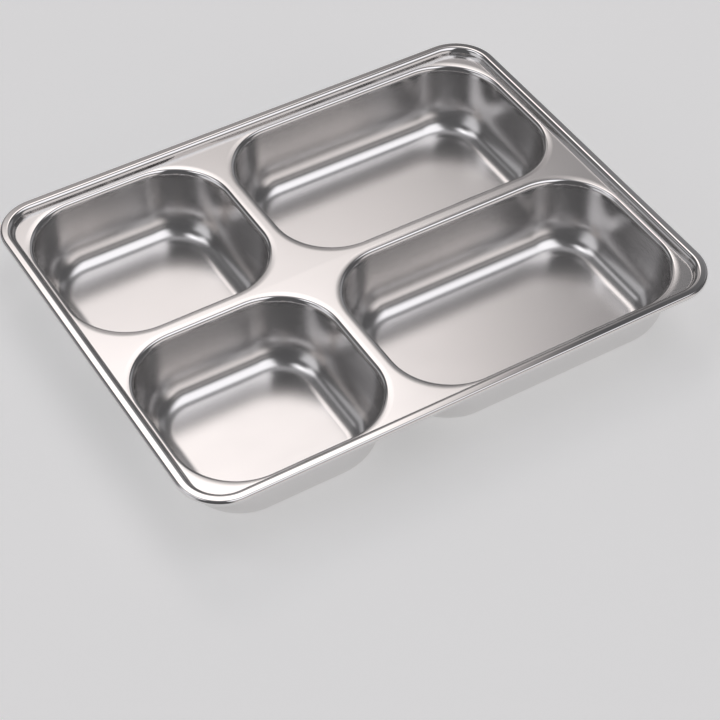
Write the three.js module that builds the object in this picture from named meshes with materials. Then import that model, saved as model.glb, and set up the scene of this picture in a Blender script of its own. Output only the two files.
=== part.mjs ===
// Serving tray with four drawn wells in a deck panel, all of thin stainless sheet.
// Millimetres, +Z up. X runs along the tray and Y across it. The origin is at the middle of the
// tray, on the plane that the well floors stand on.

import * as THREE from 'three';
import { mergeVertices } from 'three/addons/utils/BufferGeometryUtils.js';

// Whole tray
const TRAY_LENGTH = 280;
const TRAY_WIDTH = 221;
const TRAY_HEIGHT = 39;
const SHEET = 0.6;

// Rim, from its rolled outer edge in to the deck
const RIM_CORNER_RADIUS = 22.5;
const ROLL_RADIUS = 1.5;
const ROLL_LIP = 2;
const RIM_LAND = 1.9;
const LAND_SLOPE = THREE.MathUtils.degToRad(3);
const STEP_DEPTH = 3.8;
const STEP_ANGLE = THREE.MathUtils.degToRad(72);
const STEP_HEAD_RADIUS = 3;
const STEP_FOOT_RADIUS = 0.8;

// Deck: the flat left round the mouths, and the length that the two small mouths take
const DECK_MARGIN = 0.2;
const RIB_WIDTH = 5.2;
const SMALL_MOUTH_LENGTH = 105;

// Wells
const MOUTH_CORNER_RADIUS = 33;
const BRIM_RADIUS = 2.4;
const WALL_TOP_SLOPE = THREE.MathUtils.degToRad(88);
const WALL_FOOT_SLOPE = THREE.MathUtils.degToRad(82);
const SWEEP_RADIUS = 20;
const FLOOR_BEND_SLOPE = THREE.MathUtils.degToRad(45);
const FLOOR_RADIUS = 13;

// Facets
const BEND_FACET = THREE.MathUtils.degToRad(15);
const LEAST_FACETS = 2;
const CORNER_FACETS = 8;
const MERGE_DISTANCE = 1e-4;

const QUARTER_TURN = Math.PI / 2;
const HALF_TURN = Math.PI;
const DECK_HEIGHT = TRAY_HEIGHT - STEP_DEPTH;

// A cut through the sheet, drawn as runs and bends with the show face on the left.
// Points are (inset from the outline, height), kept in pairs: show face and back of the sheet.
class SheetSection {
  constructor(inset, height, heading) {
    this.at = new THREE.Vector2(inset, height);
    this.heading = heading;
    this.show = [];
    this.back = [];
    this.mark();
  }

  // Unit vector from the back of the sheet to its show face
  normal() {
    return new THREE.Vector2(-Math.sin(this.heading), Math.cos(this.heading));
  }

  mark() {
    this.show.push(this.at.clone());
    this.back.push(this.at.clone().addScaledVector(this.normal(), -SHEET));
  }

  run(length) {
    const along = new THREE.Vector2(Math.cos(this.heading), Math.sin(this.heading));
    this.at.addScaledVector(along, length);
    this.mark();
    return this;
  }

  // Turns by an angle, positive to the left, at a radius taken on the show face
  bend(angle, radius) {
    const reach = Math.sign(angle) * radius;
    const centre = this.at.clone().addScaledVector(this.normal(), reach);
    const facets = Math.max(Math.ceil(Math.abs(angle) / BEND_FACET), LEAST_FACETS);
    for (let i = 0; i < facets; i += 1) {
      this.heading += angle / facets;
      this.at.copy(centre).addScaledVector(this.normal(), -reach);
      this.mark();
    }
    return this;
  }

  get inset() {
    return this.at.x;
  }
}

// A rounded rectangle in plan, from which rings are taken at any inset and height
class Outline {
  constructor(xMin, xMax, yMin, yMax, radius) {
    this.box = new THREE.Box2(new THREE.Vector2(xMin, yMin), new THREE.Vector2(xMax, yMax));
    this.radius = radius;
  }

  // Points of one ring, anticlockwise from above; insets keep the corner centres where they are
  ring(inset, height) {
    const { min, max } = this.box.clone().expandByScalar(-this.radius);
    const corners = [[max.x, max.y], [min.x, max.y], [min.x, min.y], [max.x, min.y]];
    const points = [];
    corners.forEach(([x, y], quarter) => {
      for (let i = 0; i <= CORNER_FACETS; i += 1) {
        const angle = QUARTER_TURN * (quarter + i / CORNER_FACETS);
        const r = this.radius - inset;
        points.push(new THREE.Vector3(x + r * Math.cos(angle), y + r * Math.sin(angle), height));
      }
    });
    return points;
  }
}

// Collects the faces of one closed piece of sheet
class Skin {
  constructor() {
    this.corners = [];
  }

  // A band between two rings, with its outer side on the left of the way from the first to the second
  band(first, second) {
    first.forEach((a, i) => {
      const next = (i + 1) % first.length;
      this.corners.push(a, first[next], second[next], a, second[next], second[i]);
    });
    return this;
  }

  // Bands from the inner end of the sheet's back, round its free edge, to the inner end of its show face
  sweep(section, outline) {
    const way = [...section.back.slice().reverse(), ...section.show];
    const rings = way.map((point) => outline.ring(point.x, point.y));
    rings.slice(1).forEach((ring, i) => this.band(rings[i], ring));
    return { back: rings[0], show: rings[rings.length - 1] };
  }

  // A flat face inside a ring, with holes, looking up or down
  flat(ring, holes, up) {
    const triangles = THREE.ShapeUtils.triangulateShape(ring, holes);
    const points = [ring, ...holes].flat();
    triangles.forEach(([a, b, c]) => {
      const order = up ? [a, b, c] : [a, c, b];
      this.corners.push(...order.map((i) => points[i]));
    });
    return this;
  }

  mesh(name, material) {
    const geometry = mergeVertices(new THREE.BufferGeometry().setFromPoints(this.corners), MERGE_DISTANCE);
    geometry.computeVertexNormals();
    const mesh = new THREE.Mesh(geometry, material);
    mesh.name = name;
    return mesh;
  }
}

// Height that a bend takes between two slopes
function bendDrop(radius, steep, shallow) {
  return radius * (Math.cos(shallow) - Math.cos(steep));
}

// The rim's section: lip under the roll, roll, land rising a little inward, then the step down to the deck
function rimSection() {
  const landRise = RIM_LAND * Math.sin(LAND_SLOPE) + bendDrop(STEP_HEAD_RADIUS, LAND_SLOPE, 0);
  const rollTop = TRAY_HEIGHT - landRise;
  const lipHeight = rollTop - ROLL_RADIUS * (1 + Math.cos(LAND_SLOPE));
  const bends = bendDrop(STEP_HEAD_RADIUS + STEP_FOOT_RADIUS, STEP_ANGLE, 0);
  const stepRun = (STEP_DEPTH - bends) / Math.sin(STEP_ANGLE);
  return new SheetSection(ROLL_RADIUS + ROLL_LIP, lipHeight, HALF_TURN)
    .run(ROLL_LIP)
    .bend(LAND_SLOPE - HALF_TURN, ROLL_RADIUS)
    .run(RIM_LAND)
    .bend(-LAND_SLOPE, STEP_HEAD_RADIUS)
    .bend(-STEP_ANGLE, STEP_HEAD_RADIUS)
    .run(stepRun)
    .bend(STEP_ANGLE, STEP_FOOT_RADIUS);
}

// A well's section: brim off the deck, a wall that leans in a little more as it goes down, then a fillet that
// tightens into the floor. The wall's bow takes the depth that the other bends leave.
function wellSection() {
  const bends = bendDrop(BRIM_RADIUS, WALL_TOP_SLOPE, 0)
    + bendDrop(SWEEP_RADIUS, WALL_FOOT_SLOPE, FLOOR_BEND_SLOPE)
    + bendDrop(FLOOR_RADIUS, FLOOR_BEND_SLOPE, 0);
  const wallRadius = (DECK_HEIGHT - SHEET - bends) / bendDrop(1, WALL_TOP_SLOPE, WALL_FOOT_SLOPE);
  return new SheetSection(0, DECK_HEIGHT, 0)
    .bend(-WALL_TOP_SLOPE, BRIM_RADIUS)
    .bend(WALL_TOP_SLOPE - WALL_FOOT_SLOPE, wallRadius)
    .bend(WALL_FOOT_SLOPE - FLOOR_BEND_SLOPE, SWEEP_RADIUS)
    .bend(FLOOR_BEND_SLOPE, FLOOR_RADIUS);
}

// Where the four mouths lie: two small ones at the -X end, two long ones at the +X end
function mouthOutlines(mouthInset) {
  const xEnd = TRAY_LENGTH / 2 - mouthInset;
  const yEnd = TRAY_WIDTH / 2 - mouthInset;
  const xRib = -xEnd + SMALL_MOUTH_LENGTH;
  const columns = { small: [-xEnd, xRib], long: [xRib + RIB_WIDTH, xEnd] };
  const rows = { front: [-yEnd, -RIB_WIDTH / 2], rear: [RIB_WIDTH / 2, yEnd] };
  return Object.entries(columns).flatMap(([size, x]) =>
    Object.entries(rows).map(([side, y]) => ({
      name: `well_${size}_${side}`,
      outline: new Outline(...x, ...y, MOUTH_CORNER_RADIUS),
    })),
  );
}

function satinSteel() {
  return new THREE.MeshStandardMaterial({ color: 0xc8c5c2, roughness: 0.32, metalness: 1 });
}

function polishedSteel() {
  return new THREE.MeshStandardMaterial({ color: 0xd2d0cd, roughness: 0.2, metalness: 1 });
}

// Deck panel with its rolled rim, open at the four mouths
function deckPanel(rim, mouths) {
  const skin = new Skin();
  const outer = new Outline(-TRAY_LENGTH / 2, TRAY_LENGTH / 2, -TRAY_WIDTH / 2, TRAY_WIDTH / 2, RIM_CORNER_RADIUS);
  const edge = skin.sweep(rim, outer);
  const showHoles = mouths.map(({ outline }) => outline.ring(0, DECK_HEIGHT));
  const backHoles = mouths.map(({ outline }) => outline.ring(0, DECK_HEIGHT - SHEET));
  showHoles.forEach((hole, i) => skin.band(hole, backHoles[i]));
  return skin
    .flat(edge.show, showHoles, true)
    .flat(edge.back, backHoles, false)
    .mesh('deck_panel', polishedSteel());
}

// One drawn well, its brim butted to the edge of the deck's mouth
function drawnWell({ name, outline }) {
  const skin = new Skin();
  const floor = skin.sweep(wellSection(), outline);
  return skin
    .flat(floor.show, [], true)
    .flat(floor.back, [], false)
    .mesh(name, satinSteel());
}

const rim = rimSection();
const mouths = mouthOutlines(rim.inset + DECK_MARGIN);
const tray = new THREE.Group();
tray.add(deckPanel(rim, mouths), ...mouths.map(drawnWell));

export default tray;
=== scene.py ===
"""Studio scene of a stainless compartment tray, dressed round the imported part. Metres, +Z up."""

import math

import bpy
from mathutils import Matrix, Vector
from mathutils.geometry import tessellate_polygon


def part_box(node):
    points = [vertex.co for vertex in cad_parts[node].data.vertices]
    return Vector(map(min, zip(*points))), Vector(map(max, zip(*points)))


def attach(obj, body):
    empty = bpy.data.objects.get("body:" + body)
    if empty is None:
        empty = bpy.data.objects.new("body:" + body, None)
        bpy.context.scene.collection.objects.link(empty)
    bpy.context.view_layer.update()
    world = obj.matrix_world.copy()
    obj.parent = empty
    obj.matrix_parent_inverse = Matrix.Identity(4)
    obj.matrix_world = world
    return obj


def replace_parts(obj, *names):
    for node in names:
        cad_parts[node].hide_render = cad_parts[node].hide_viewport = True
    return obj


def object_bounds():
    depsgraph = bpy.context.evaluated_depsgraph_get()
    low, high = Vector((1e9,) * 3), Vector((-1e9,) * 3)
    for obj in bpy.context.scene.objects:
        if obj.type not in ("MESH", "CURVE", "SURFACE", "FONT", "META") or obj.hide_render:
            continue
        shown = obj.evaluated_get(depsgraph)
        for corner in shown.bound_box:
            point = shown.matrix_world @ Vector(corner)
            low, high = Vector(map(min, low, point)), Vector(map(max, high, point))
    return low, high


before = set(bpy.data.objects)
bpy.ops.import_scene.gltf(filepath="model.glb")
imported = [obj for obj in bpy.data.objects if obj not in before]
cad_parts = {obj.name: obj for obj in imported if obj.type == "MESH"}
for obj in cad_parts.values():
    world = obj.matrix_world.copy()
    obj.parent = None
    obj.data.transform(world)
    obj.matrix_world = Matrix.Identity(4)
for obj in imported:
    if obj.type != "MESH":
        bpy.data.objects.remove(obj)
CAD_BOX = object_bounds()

MM = 0.001
WELLS = ("well_small_front", "well_small_rear", "well_long_front", "well_long_rear")

# Rim, from its rolled outer edge in to the deck
SHEET = 0.6 * MM
RIM_TOP = CAD_BOX[1].z
RIM_CORNER_RADIUS = 22.5 * MM
ROLL_RADIUS = 1.5 * MM
ROLL_LIP = 2.0 * MM
RIM_LAND = 1.9 * MM
LAND_SLOPE = math.radians(1.5)
STEP_DEPTH = 3.8 * MM
STEP_ANGLE = math.radians(72)
STEP_HEAD_RADIUS = 3.0 * MM
STEP_FOOT_RADIUS = 0.8 * MM
DECK_HEIGHT = RIM_TOP - STEP_DEPTH

# Soft shoulder by which the deck rolls down to each mouth
SHOULDER_WIDTH = 3.0 * MM
SHOULDER_SLOPE = math.radians(6)
SHOULDER_SHARE = 0.9
SEARCH_REACH = 30.0 * MM
SEARCH_HALVINGS = 24

# Wells
MOUTH_CORNER_RADIUS = 33.0 * MM
BRIM_RADIUS = 2.4 * MM
BRIM_START = BRIM_RADIUS * math.sin(SHOULDER_SLOPE)
BRIM_FALL = BRIM_RADIUS * (1 - math.cos(SHOULDER_SLOPE))
WALL_TOP = DECK_HEIGHT - BRIM_RADIUS - SHEET
WALL_TOP_SLOPE = math.radians(88)
WALL_FOOT_SLOPE = math.radians(84)
# Bends that tighten from the wall's foot into the floor: the slope where each one ends, and its radius
FILLET_BENDS = (
    (math.radians(82), 110 * MM),
    (math.radians(79), 50 * MM),
    (math.radians(73), 28 * MM),
    (math.radians(45), 18 * MM),
    (0, 13 * MM),
)

# Facets
BEND_FACET = math.radians(4)
LEAST_FACETS = 8
CORNER_FACETS = 32
SHOULDER_BANDS = 8
FLAT_EDGE = 0.05 * MM
SHARP_ANGLE = math.radians(50)

# Steel, with its noises stretched to so many cells a metre along X, Y and Z
PANEL_COLOUR = (0.78, 0.77, 0.765)
WELL_COLOUR = (0.8, 0.79, 0.785)
GRAIN_STRETCH = (35, 1500, 120)
GRAIN_DETAIL = 4
GRAIN_ROUGHENS = 0.04
GRAIN_SHADES = 0.03
GRAIN_DEPTH = 0.02 * MM
GRAIN_BUMP = 0.12
CLOUD_STRETCH = (30, 45, 45)
CLOUD_DETAIL = 3
CLOUD_ROUGHENS = 0.05
CLOUD_SHADES = 0.05
NOISE_MEAN = 0.5
# Stops of (height, roughness): satin on floors, walls and deck, polished on the rim and the brims
PANEL_FINISH = ((DECK_HEIGHT, 0.18), (DECK_HEIGHT + 1 * MM, 0.04))
WELL_FINISH = (
    (0.7 * MM, 0.24),
    (2 * MM, 0.19),
    (4 * MM, 0.19),
    (7 * MM, 0.25),
    (13 * MM, 0.25),
    (19 * MM, 0.2),
    (30 * MM, 0.2),
    (33 * MM, 0.06),
)

# Camera, fitted to the photograph, with its target on the plane of the rim's top
VIEW_AZIMUTH = math.radians(-31.17)
VIEW_ELEVATION = math.radians(46.10)
VIEW_DISTANCE = 938.6 * MM
VIEW_TARGET = Vector((-34.7 * MM, -66.2 * MM, RIM_TOP))
SENSOR_WIDTH = 36.0  # in millimetres, as Blender takes it
FOCAL_PIXELS = 2081.9
IMAGE_PIXELS = 720

# Floor
FLOOR_SIZE = 6.0
FLOOR_COLOUR = (0.8, 0.8, 0.8, 1)
FLOOR_ROUGHNESS = 0.7
GLOW_COLOUR = (1, 1, 1, 1)
GLOW_STRENGTH = 0.33

# Studio: a dim room with soft panels far off, of which those behind and in front of the tray are warmer
ROOM_LIGHT = 0.1
COOL_TINT = (1.01, 1.0, 1.035, 1)
WARM_TINT = (1.07, 1.0, 0.98, 1)
# Each panel spans a range of azimuth from +X and one of elevation, with soft edges in both, all in degrees
BACK = dict(azimuth=(53, 80), elevation=(41.5, 62), edge=(6, 6), brightness=1.42)
LOW_BACK = dict(azimuth=(58, 95), elevation=(18, 37), edge=(6, 4), brightness=0.35)
OVERHEAD = dict(azimuth=(259, 372), elevation=(56, 87), edge=(8, 6), brightness=1.15)
LEFT = dict(azimuth=(124, 152), elevation=(46, 72), edge=(9, 5), brightness=1.1)
LEFT_TOP = dict(azimuth=(142, 178), elevation=(63, 73), edge=(9, 3), brightness=1.1)
CEILING = dict(azimuth=(15, 130), elevation=(58, 95), edge=(12, 8), brightness=0.22)
LOW_LEFT = dict(azimuth=(148, 190), elevation=(-5, 44), edge=(8, 8), brightness=0.6)
LEFT_BACK = dict(azimuth=(112, 150), elevation=(12, 33), edge=(8, 4), brightness=0.3)
LOW_FRONT = dict(azimuth=(262, 318), elevation=(-5, 24), edge=(9, 4), brightness=0.55)
FRONT = dict(azimuth=(262, 318), elevation=(24, 32.5), edge=(9, 4), brightness=0.95)
FRONT_TOP = dict(azimuth=(262, 318), elevation=(41, 46), edge=(9, 3), brightness=0.38)
LOW_RIGHT = dict(azimuth=(8, 50), elevation=(18, 42), edge=(8, 6), brightness=0.2)
COOL_PANELS = (OVERHEAD, LEFT, LEFT_TOP, CEILING, LOW_LEFT, LEFT_BACK, LOW_RIGHT)
WARM_PANELS = (BACK, LOW_BACK, LOW_FRONT, FRONT, FRONT_TOP)


class SheetSection:
    """A cut through the sheet, drawn as runs and bends with the show face on the left.
    Points are (inset from the outline, height) of the show face and of the sheet's back."""

    def __init__(self, inset, height, heading):
        self.at = Vector((inset, height))
        self.heading = heading
        self.show = []
        self.back = []
        self.mark()

    def normal(self):
        """Unit vector from the back of the sheet to its show face."""
        return Vector((-math.sin(self.heading), math.cos(self.heading)))

    def mark(self):
        self.show.append(self.at.copy())
        self.back.append(self.at - self.normal() * SHEET)

    def run(self, length):
        """A straight, marked just inside its ends too, so that it is shaded flat."""
        along = Vector((math.cos(self.heading), math.sin(self.heading)))
        start = self.at.copy()
        for distance in (FLAT_EDGE, length - FLAT_EDGE, length):
            self.at = start + along * distance
            self.mark()
        return self

    def bend(self, angle, radius):
        """Turns by an angle, positive to the left, at a radius taken on the show face."""
        reach = math.copysign(radius, angle)
        centre = self.at + self.normal() * reach
        facets = max(math.ceil(abs(angle) / BEND_FACET), LEAST_FACETS)
        for _ in range(facets):
            self.heading += angle / facets
            self.at = centre - self.normal() * reach
            self.mark()
        return self

    def flat_end(self):
        """A short level end, so that the flat beyond it is shaded flat."""
        self.at = self.at + Vector((FLAT_EDGE, 0))
        self.mark()
        return self


def bend_drop(radius, steep, shallow):
    """Height lost round a bend between two slopes."""
    return radius * (math.cos(shallow) - math.cos(steep))


def rim_section():
    """Lip under the roll, the roll, a land that rises a little inward, then the step down to the deck."""
    bends = bend_drop(STEP_HEAD_RADIUS + STEP_FOOT_RADIUS, STEP_ANGLE, 0)
    step_run = (STEP_DEPTH - bends) / math.sin(STEP_ANGLE)
    land_rise = RIM_LAND * math.sin(LAND_SLOPE) + bend_drop(STEP_HEAD_RADIUS, LAND_SLOPE, 0)
    lip_height = RIM_TOP - land_rise - ROLL_RADIUS * (1 + math.cos(LAND_SLOPE))
    section = SheetSection(ROLL_RADIUS + ROLL_LIP, lip_height, math.pi)
    section.run(ROLL_LIP).bend(LAND_SLOPE - math.pi, ROLL_RADIUS).run(RIM_LAND)
    section.bend(-LAND_SLOPE, STEP_HEAD_RADIUS).bend(-STEP_ANGLE, STEP_HEAD_RADIUS)
    return section.run(step_run).bend(STEP_ANGLE, STEP_FOOT_RADIUS).flat_end()


def well_section():
    """Brim off the shoulder, a wall that leans in a little more as it goes down, then the fillet.
    The wall's bow takes the depth that the other bends leave."""
    starts = (WALL_FOOT_SLOPE, *(end for end, _ in FILLET_BENDS))
    fillet = [(start, end, radius) for start, (end, radius) in zip(starts, FILLET_BENDS)]
    bends = bend_drop(BRIM_RADIUS, WALL_TOP_SLOPE, 0)
    bends += sum(bend_drop(radius, start, end) for start, end, radius in fillet)
    wall_radius = (DECK_HEIGHT - SHEET - bends) / bend_drop(1, WALL_TOP_SLOPE, WALL_FOOT_SLOPE)
    section = SheetSection(BRIM_START, DECK_HEIGHT - BRIM_FALL, -SHOULDER_SLOPE)
    section.bend(SHOULDER_SLOPE - WALL_TOP_SLOPE, BRIM_RADIUS)
    section.bend(WALL_TOP_SLOPE - WALL_FOOT_SLOPE, wall_radius)
    for start, end, radius in fillet:
        section.bend(start - end, radius)
    return section.flat_end()


def spokes(box, radius):
    """Corner centres of a rounded rectangle and directions out from them, anticlockwise from above."""
    low, high = box
    left, right = low.x + radius, high.x - radius
    front, rear = low.y + radius, high.y - radius
    for quarter, corner in enumerate(((right, rear), (left, rear), (left, front), (right, front))):
        for i in range(CORNER_FACETS + 1):
            angle = math.pi / 2 * (quarter + i / CORNER_FACETS)
            yield Vector((*corner, 0)), Vector((math.cos(angle), math.sin(angle), 0))


def ring(box, radius, inset, height):
    """A ring at an inset from the outline, whose corners keep their centres."""
    up = Vector((0, 0, height))
    return [centre + outward * (radius - inset) + up for centre, outward in spokes(box, radius)]


def edge_distance(point, box, radius):
    """Distance in plan from a point to a rounded rectangle, negative inside it."""
    low, high = box
    x = abs(point.x - (low.x + high.x) / 2) - (high.x - low.x) / 2 + radius
    y = abs(point.y - (low.y + high.y) / 2) - (high.y - low.y) / 2 + radius
    return math.hypot(max(x, 0), max(y, 0)) + min(max(x, y), 0) - radius


class Mouth:
    """The mouth of one well, with a shoulder that fades out short of the step and of the other mouths."""

    def __init__(self, well, foot_inset):
        self.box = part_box(well)
        self.neighbours = [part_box(other) for other in WELLS if other != well]
        inward = Vector((foot_inset, foot_inset, 0))
        self.foot_box = CAD_BOX[0] + inward, CAD_BOX[1] - inward
        self.foot_radius = RIM_CORNER_RADIUS - foot_inset
        self.spokes = list(spokes(self.box, MOUTH_CORNER_RADIUS))
        self.widths = [self.width(centre + out * MOUTH_CORNER_RADIUS, out) for centre, out in self.spokes]
        self.falls = [math.tan(SHOULDER_SLOPE) * (width + BRIM_START) / 2 for width in self.widths]

    def is_clear(self, edge, outward, reach):
        """Whether the point that far out lies on the flat deck, nearer to this mouth than to another."""
        point = edge + outward * reach
        beside = min(edge_distance(point, box, MOUTH_CORNER_RADIUS) for box in self.neighbours)
        return beside > reach and edge_distance(point, self.foot_box, self.foot_radius) < -FLAT_EDGE

    def room(self, edge, outward):
        """How far out the deck is clear, found by halving."""
        near, far = 0, SEARCH_REACH
        for _ in range(SEARCH_HALVINGS):
            middle = (near + far) / 2
            near, far = (middle, far) if self.is_clear(edge, outward, middle) else (near, middle)
        return near

    def width(self, edge, outward):
        """Width of the shoulder: a share of its full width, or of the room where that is less."""
        room = self.room(edge, outward)
        return SHOULDER_SHARE * SHOULDER_WIDTH * room / math.hypot(SHOULDER_WIDTH, room)

    def shoulder_ring(self, share, height):
        """The ring at a share of the way out from the brim to the flat deck."""
        points = []
        for (centre, outward), width, fall in zip(self.spokes, self.widths, self.falls):
            reach = MOUTH_CORNER_RADIUS - BRIM_START + (width + BRIM_START) * share
            points.append(centre + outward * reach + Vector((0, 0, height - fall * (1 - share) ** 2)))
        return points

    def well_ring(self, inset, height):
        """A ring of the well, lowered at the brim to meet the shoulder."""
        points = ring(self.box, MOUTH_CORNER_RADIUS, inset, height)
        if height > WALL_TOP:
            for point, fall in zip(points, self.falls):
                point.z -= fall - BRIM_FALL
        return points


class Skin:
    """Collects the faces of one closed piece of sheet."""

    def __init__(self):
        self.points = []
        self.faces = []

    def place(self, points):
        first = len(self.points)
        self.points.extend(points)
        return range(first, first + len(points))

    def band(self, first, second):
        """Faces between two placed rings, looking to the left of the way from the first to the second."""
        for i in range(len(first)):
            j = (i + 1) % len(first)
            self.faces.append((first[i], first[j], second[j], second[i]))

    def bands(self, rings):
        """Bands from ring to ring; returns the first and the last ring as placed."""
        placed = [self.place(points) for points in rings]
        for first, second in zip(placed, placed[1:]):
            self.band(first, second)
        return placed[0], placed[-1]

    def flat(self, loops, up):
        """A flat face inside the first loop, open inside the others, looking up or down."""
        order = [i for loop in loops for i in loop]
        for a, b, c in tessellate_polygon([[self.points[i] for i in loop] for loop in loops]):
            pa, pb, pc = (self.points[order[i]] for i in (a, b, c))
            facing = (pb - pa).cross(pc - pa).z > 0
            face = (a, b, c) if facing == up else (a, c, b)
            self.faces.append(tuple(order[i] for i in face))

    def piece(self, name, material):
        mesh = bpy.data.meshes.new(name)
        mesh.from_pydata(self.points, [], self.faces)
        mesh.shade_smooth()
        mesh.set_sharp_from_angle(angle=SHARP_ANGLE)
        mesh.materials.append(material)
        made = bpy.data.objects.new(name, mesh)
        bpy.context.scene.collection.objects.link(made)
        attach(made, "root")
        return made


def deck_piece(mouths, material):
    """The deck panel with its rim, and the shoulders round its four mouths."""
    skin = Skin()
    section = rim_section()
    way = section.back[::-1] + section.show
    back_edge, show_edge = skin.bands([ring(CAD_BOX, RIM_CORNER_RADIUS, p.x, p.y) for p in way])
    show, back = [show_edge], [back_edge]
    shares = [i / SHOULDER_BANDS for i in range(SHOULDER_BANDS, -1, -1)]
    for mouth in mouths:
        top = [mouth.shoulder_ring(share, DECK_HEIGHT) for share in shares]
        under = [mouth.shoulder_ring(share, DECK_HEIGHT - SHEET) for share in reversed(shares)]
        top_edge, under_edge = skin.bands(top + under)
        show.append(top_edge)
        back.append(under_edge)
    skin.flat(show, True)
    skin.flat(back, False)
    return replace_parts(skin.piece("deck_and_rim", material), "deck_panel")


def well_piece(well, mouth, material):
    """One drawn well, from the brim at its mouth to its floor."""
    skin = Skin()
    section = well_section()
    way = section.back[::-1] + section.show
    back, show = skin.bands([mouth.well_ring(p.x, p.y) for p in way])
    skin.flat([show], True)
    skin.flat([back], False)
    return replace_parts(skin.piece("drawn_" + well, material), well)


class Tree:
    """Adds nodes to a node tree and links them, a value or a socket to each input."""

    def __init__(self, owner):
        owner.use_nodes = True
        self.nodes = owner.node_tree.nodes
        self.links = owner.node_tree.links

    def put(self, socket, value):
        if isinstance(value, bpy.types.NodeSocket):
            self.links.new(value, socket)
        else:
            socket.default_value = value

    def fill(self, node, values):
        """Fills a node's inputs by name."""
        for name, value in values.items():
            self.put(node.inputs[name], value)

    def add(self, kind, *values, **settings):
        """A new node, with its first inputs filled in order."""
        node = self.nodes.new("ShaderNode" + kind)
        for key, value in settings.items():
            setattr(node, key, value)
        for socket, value in zip(node.inputs, values):
            self.put(socket, value)
        return node

    def math(self, operation, *values):
        return self.add("Math", *values, operation=operation).outputs[0]

    def smooth(self, value, start, end, low, high):
        """Goes smoothly from low to high while the value goes from start to end."""
        node = self.add("MapRange", value, start, end, low, high, interpolation_type="SMOOTHSTEP")
        return node.outputs["Result"]

    def ramp(self, value, stops):
        """A smooth curve through (position, level) stops, over the range of the first to the last."""
        start, end = stops[0][0], stops[-1][0]
        share = self.add("MapRange", value, start, end, 0, 1).outputs["Result"]
        node = self.add("ValToRGB", share)
        elements = node.color_ramp.elements
        node.color_ramp.interpolation = "EASE"
        for position, _ in stops[1:-1]:
            elements.new((position - start) / (end - start))
        for element, (_, level) in zip(elements, stops):
            element.color = (level, level, level, 1)
        return node.outputs["Color"]

    def noise(self, coords, stretch, detail):
        """Noise about zero, finer along an axis that is stretched more."""
        placed = self.add("VectorMath", coords, stretch, operation="MULTIPLY").outputs[0]
        node = self.add("TexNoise")
        self.fill(node, {"Vector": placed, "Scale": 1, "Detail": detail})
        return self.math("SUBTRACT", node.outputs["Fac"], NOISE_MEAN)


def steel(name, colour, finish):
    """Brushed sheet whose roughness follows its finish, with fine grain and soft clouds over it."""
    material = bpy.data.materials.new(name)
    tree = Tree(material)
    coords = tree.add("TexCoord").outputs["Object"]
    grain = tree.noise(coords, GRAIN_STRETCH, GRAIN_DETAIL)
    cloud = tree.noise(coords, CLOUD_STRETCH, CLOUD_DETAIL)
    height = tree.add("SeparateXYZ", coords).outputs["Z"]
    roughness = tree.math("MULTIPLY_ADD", grain, GRAIN_ROUGHENS, tree.ramp(height, finish))
    roughness = tree.math("MULTIPLY_ADD", cloud, CLOUD_ROUGHENS, roughness)
    shade = tree.math("MULTIPLY_ADD", grain, GRAIN_SHADES, 1)
    shade = tree.math("MULTIPLY_ADD", cloud, CLOUD_SHADES, shade)
    tint = tree.add("VectorMath", colour, operation="SCALE")
    tree.fill(tint, {"Scale": shade})
    bump = tree.add("Bump")
    tree.fill(bump, {"Strength": GRAIN_BUMP, "Distance": GRAIN_DEPTH, "Height": grain})
    tree.fill(tree.nodes["Principled BSDF"], {
        "Base Color": tint.outputs[0],
        "Metallic": 1,
        "Roughness": roughness,
        "Normal": bump.outputs[0],
    })
    return material


def dress_tray():
    """The deck panel and the four wells, each in place of its CAD piece."""
    foot_inset = rim_section().show[-1].x
    mouths = [Mouth(well, foot_inset) for well in WELLS]
    deck_piece(mouths, steel("panel_satin", PANEL_COLOUR, PANEL_FINISH))
    well_steel = steel("well_satin", WELL_COLOUR, WELL_FINISH)
    for well, mouth in zip(WELLS, mouths):
        well_piece(well, mouth, well_steel)


def aim_camera():
    """A camera at the photograph's angle and with its perspective."""
    away = Vector((
        math.sin(VIEW_AZIMUTH) * math.cos(VIEW_ELEVATION),
        -math.cos(VIEW_AZIMUTH) * math.cos(VIEW_ELEVATION),
        math.sin(VIEW_ELEVATION),
    ))
    camera = bpy.data.objects.new("camera", bpy.data.cameras.new("camera"))
    camera.data.sensor_width = SENSOR_WIDTH
    camera.data.lens = FOCAL_PIXELS / IMAGE_PIXELS * SENSOR_WIDTH
    camera.location = VIEW_TARGET + away * VIEW_DISTANCE
    camera.rotation_mode = "QUATERNION"
    camera.rotation_quaternion = (-away).to_track_quat("-Z", "Y")
    bpy.context.scene.collection.objects.link(camera)
    bpy.context.scene.camera = camera


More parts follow.
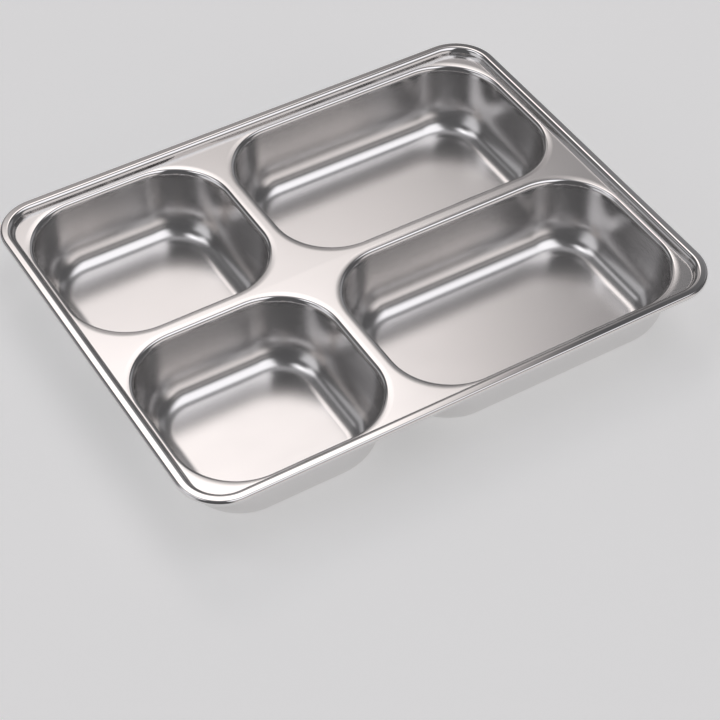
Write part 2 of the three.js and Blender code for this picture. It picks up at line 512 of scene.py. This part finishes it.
def floor_paint():
    """Plain pale paint that glows a little where the camera, a gloss or a clear piece sees it."""
    material = bpy.data.materials.new("floor_pale")
    tree = Tree(material)
    path = tree.add("LightPath")
    looked_at = path.outputs["Is Camera Ray"]
    for ray in ("Is Glossy Ray", "Is Transmission Ray"):
        looked_at = tree.math("MAXIMUM", looked_at, path.outputs[ray])
    tree.fill(tree.nodes["Principled BSDF"], {
        "Base Color": FLOOR_COLOUR,
        "Roughness": FLOOR_ROUGHNESS,
        "Emission Color": GLOW_COLOUR,
        "Emission Strength": tree.math("MULTIPLY", looked_at, GLOW_STRENGTH),
    })
    return material


def lay_floor():
    bpy.ops.mesh.primitive_plane_add(size=FLOOR_SIZE)
    floor = bpy.context.object
    floor.name = "floor"
    floor.data.materials.append(floor_paint())


def panel(tree, toward, azimuth, elevation, edge, brightness):
    """Brightness of one soft panel in a direction: flat inside its edges, nothing outside them."""
    middle = math.radians(sum(azimuth) / 2)
    half = math.radians(azimuth[1] - azimuth[0]) / 2
    low, high = (math.radians(value) for value in elevation)
    side, end = (math.radians(value) for value in edge)
    turned = tree.add("VectorRotate", toward, rotation_type="Z_AXIS")
    tree.fill(turned, {"Angle": -middle})
    ahead, across, above = tree.add("SeparateXYZ", turned.outputs[0]).outputs
    round_by = tree.math("ABSOLUTE", tree.math("ARCTAN2", across, ahead))
    rise = tree.math("ARCSINE", above)
    light = tree.smooth(round_by, half - side, half + side, brightness, 0)
    light = tree.math("MULTIPLY", light, tree.smooth(rise, low - end, low + end, 0, 1))
    return tree.math("MULTIPLY", light, tree.smooth(rise, high - end, high + end, 1, 0))


def lamps(tree, toward, tint, panels, light):
    """Panels of one tint, added to the light that is everywhere."""
    for values in panels:
        light = tree.math("ADD", light, panel(tree, toward, **values))
    return tree.add("Background", tint, light).outputs[0]


def light_studio():
    """A world of cool and warm panels in a dim room."""
    world = bpy.data.worlds.new("studio")
    bpy.context.scene.world = world
    tree = Tree(world)
    toward = tree.add("TexCoord").outputs["Generated"]
    cool_light = lamps(tree, toward, COOL_TINT, COOL_PANELS, ROOM_LIGHT)
    warm_light = lamps(tree, toward, WARM_TINT, WARM_PANELS, 0)
    both = tree.add("AddShader", cool_light, warm_light).outputs[0]
    tree.fill(tree.nodes["World Output"], {"Surface": both})


dress_tray()
aim_camera()
lay_floor()
light_studio()
bpy.context.scene.view_settings.view_transform = "Standard"
